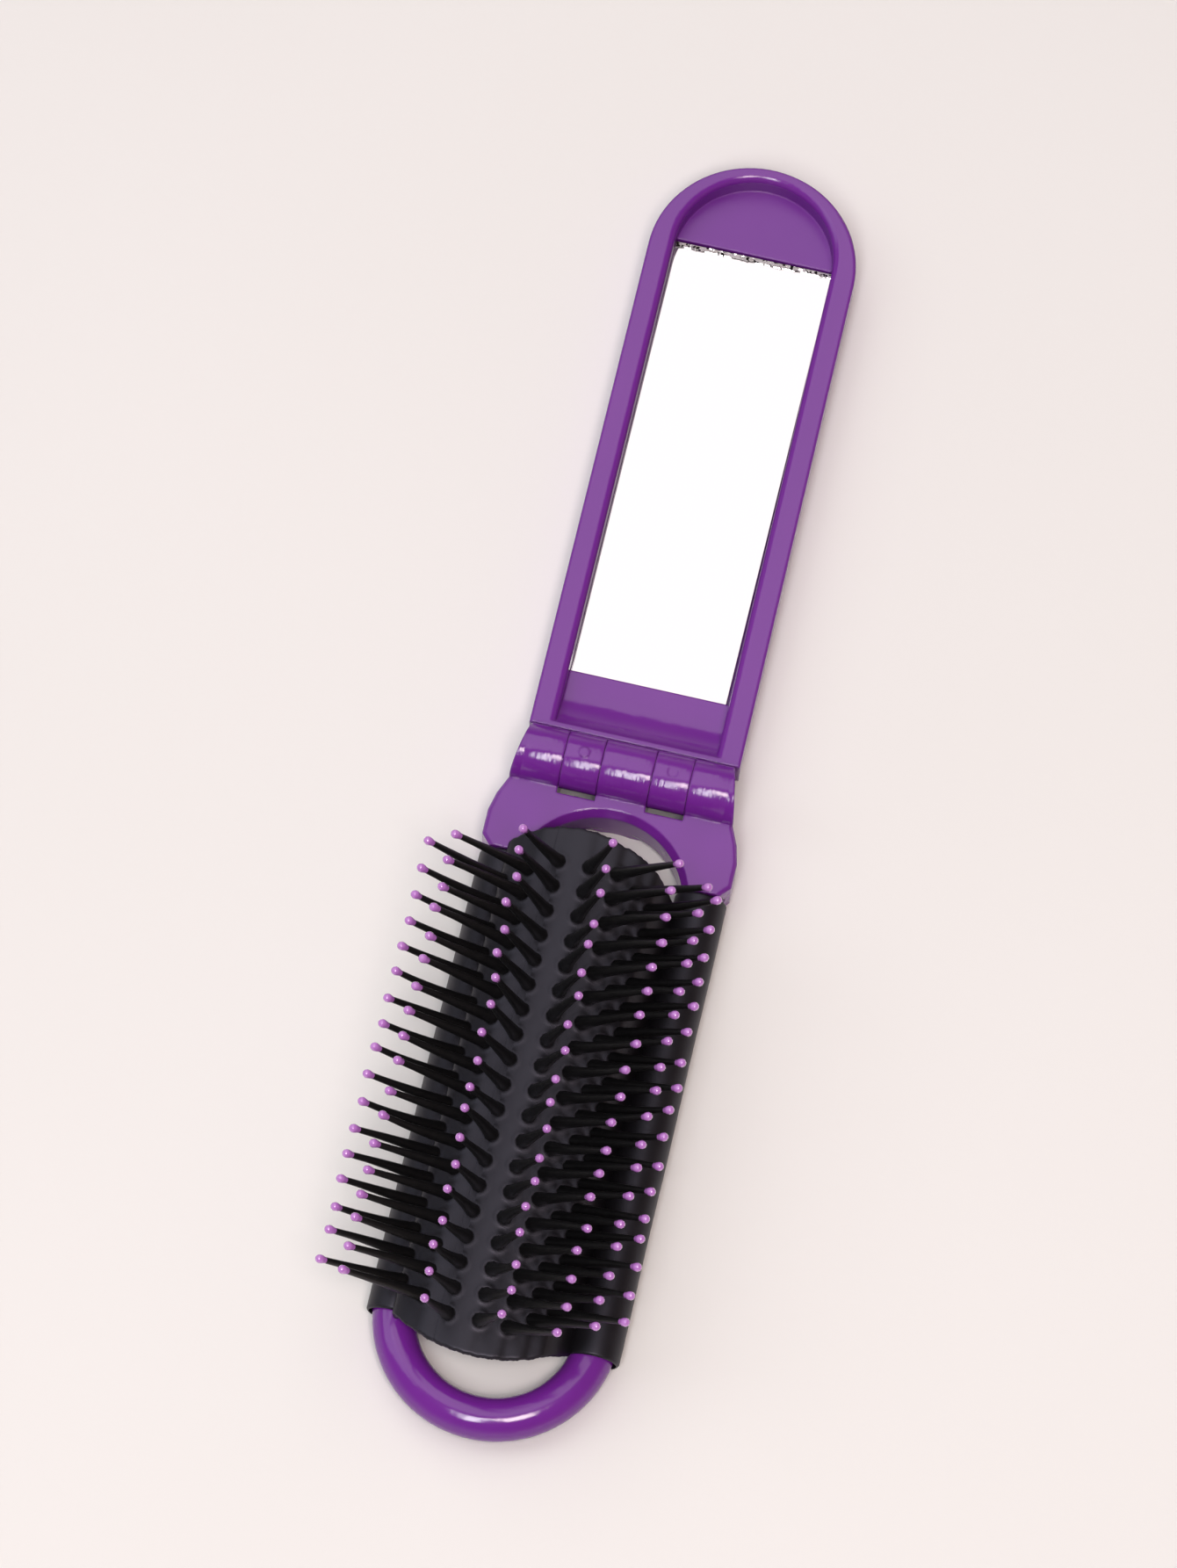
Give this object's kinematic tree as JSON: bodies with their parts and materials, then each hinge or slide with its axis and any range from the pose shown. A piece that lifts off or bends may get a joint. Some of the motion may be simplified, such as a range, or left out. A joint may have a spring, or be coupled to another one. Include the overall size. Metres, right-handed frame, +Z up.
{
  "type": "folding hairbrush with mirror",
  "caption": "Folding pocket hairbrush: a mirror in a tray-shaped lid hinged to a looped frame that holds an arched rubber pad with ball-tipped bristles.",
  "frame": {"origin": "on the resting plane, straight below the middle of the hinge pin, on the underside of the yoke's middle knuckle foot", "axes": "+Z up towards the bristles; +Y from the hinge to the round end of the open lid; +X to the right when the loop is nearest"},
  "size_m": [0.0483, 0.2153, 0.0312],
  "materials": {
    "purple_frame": "moulded, polished purple plastic",
    "purple_lid": "moulded, polished purple plastic",
    "pin_steel": "drawn steel wire",
    "mirror": "silvered glass",
    "tape": "double-sided foam tape",
    "pad_rubber": "black moulded rubber, satin",
    "bristle_nylon": "black nylon",
    "tip_paint": "dipped glossy purple ball"
  },
  "bodies": {
    "frame": {"yoke": "purple_frame", "hinge_pin": "pin_steel", "loop_rod": "purple_frame", "pad_web": "pad_rubber"},
    "lid": {"lid_shell": "purple_lid", "mirror_glass": "mirror", "mirror_tape": "tape"},
    "sleeve_left": {"pad_sleeve_left": "pad_rubber"},
    "sleeve_right": {"pad_sleeve_right": "pad_rubber"},
    "column_a": {"bristles_a": "bristle_nylon", "tips_a": "tip_paint"},
    "column_b": {"bristles_b": "bristle_nylon", "tips_b": "tip_paint"},
    "column_c": {"bristles_c": "bristle_nylon", "tips_c": "tip_paint"},
    "column_d": {"bristles_d": "bristle_nylon", "tips_d": "tip_paint"},
    "column_e": {"bristles_e": "bristle_nylon", "tips_e": "tip_paint"},
    "column_f": {"bristles_f": "bristle_nylon", "tips_f": "tip_paint"},
    "column_g": {"bristles_g": "bristle_nylon", "tips_g": "tip_paint"}
  },
  "joints": [
    {"name": "lid_fold", "type": "hinge", "parent": "frame", "child": "lid", "pos_m": [0, 0, 0.0086], "axis": [1, 0, 0], "range_deg": [0, 180], "deforming": ["pad_web"]},
    {"name": "sleeve_left_turn", "type": "hinge", "parent": "frame", "child": "sleeve_left", "pos_m": [-0.0157, 0, 0.00425], "axis": [0, 1, 0], "range_deg": [-2, 97]},
    {"name": "sleeve_right_turn", "type": "hinge", "parent": "frame", "child": "sleeve_right", "pos_m": [0.0157, 0, 0.00425], "axis": [0, 1, 0], "range_deg": [-72, 2]},
    {"name": "column_a_tuck", "type": "hinge", "parent": "frame", "child": "column_a", "pos_m": [-0.02678, 0, -0.00816], "axis": [0, 1, 0], "range_deg": [-2, 52.35]},
    {"name": "column_b_tuck", "type": "hinge", "parent": "column_a", "child": "column_b", "pos_m": [-0.00126, 0, -0.00864], "axis": [0, 1, 0], "range_deg": [-12.1, 2]},
    {"name": "column_g_tuck", "type": "hinge", "parent": "frame", "child": "column_g", "pos_m": [0.03502, 0, 0.00445], "axis": [0, 1, 0], "range_deg": [-38.95, 2]},
    {"name": "column_f_tuck", "type": "hinge", "parent": "column_g", "child": "column_f", "pos_m": [-0.00292, 0, 0.017], "axis": [0, 1, 0], "range_deg": [-8.2, 2]},
    {"name": "column_e_tuck", "type": "hinge", "parent": "column_f", "child": "column_e", "pos_m": [0.00559, 0, 0.00618], "axis": [0, 1, 0], "range_deg": [-2, 19.3]},
    {"name": "column_d_tuck", "type": "hinge", "parent": "column_e", "child": "column_d", "pos_m": [0.00149, 0, 0.00875], "axis": [0, 1, 0], "range_deg": [-2, 20.55]},
    {"name": "column_c_tuck", "type": "hinge", "parent": "column_d", "child": "column_c", "pos_m": [-0.00481, 0, 0.01055], "axis": [0, 1, 0], "range_deg": [-2, 29.7]}
  ],
  "couplings": [
    {"joint": "sleeve_left_turn", "follows": "lid_fold", "ratio": 0.52778},
    {"joint": "sleeve_right_turn", "follows": "lid_fold", "ratio": -0.38889},
    {"joint": "column_a_tuck", "follows": "lid_fold", "ratio": 0.27972},
    {"joint": "column_b_tuck", "follows": "lid_fold", "ratio": -0.056111},
    {"joint": "column_g_tuck", "follows": "lid_fold", "ratio": -0.20528},
    {"joint": "column_f_tuck", "follows": "lid_fold", "ratio": -0.034444},
    {"joint": "column_e_tuck", "follows": "lid_fold", "ratio": 0.096111},
    {"joint": "column_d_tuck", "follows": "lid_fold", "ratio": 0.10306},
    {"joint": "column_c_tuck", "follows": "lid_fold", "ratio": 0.15389}
  ]
}
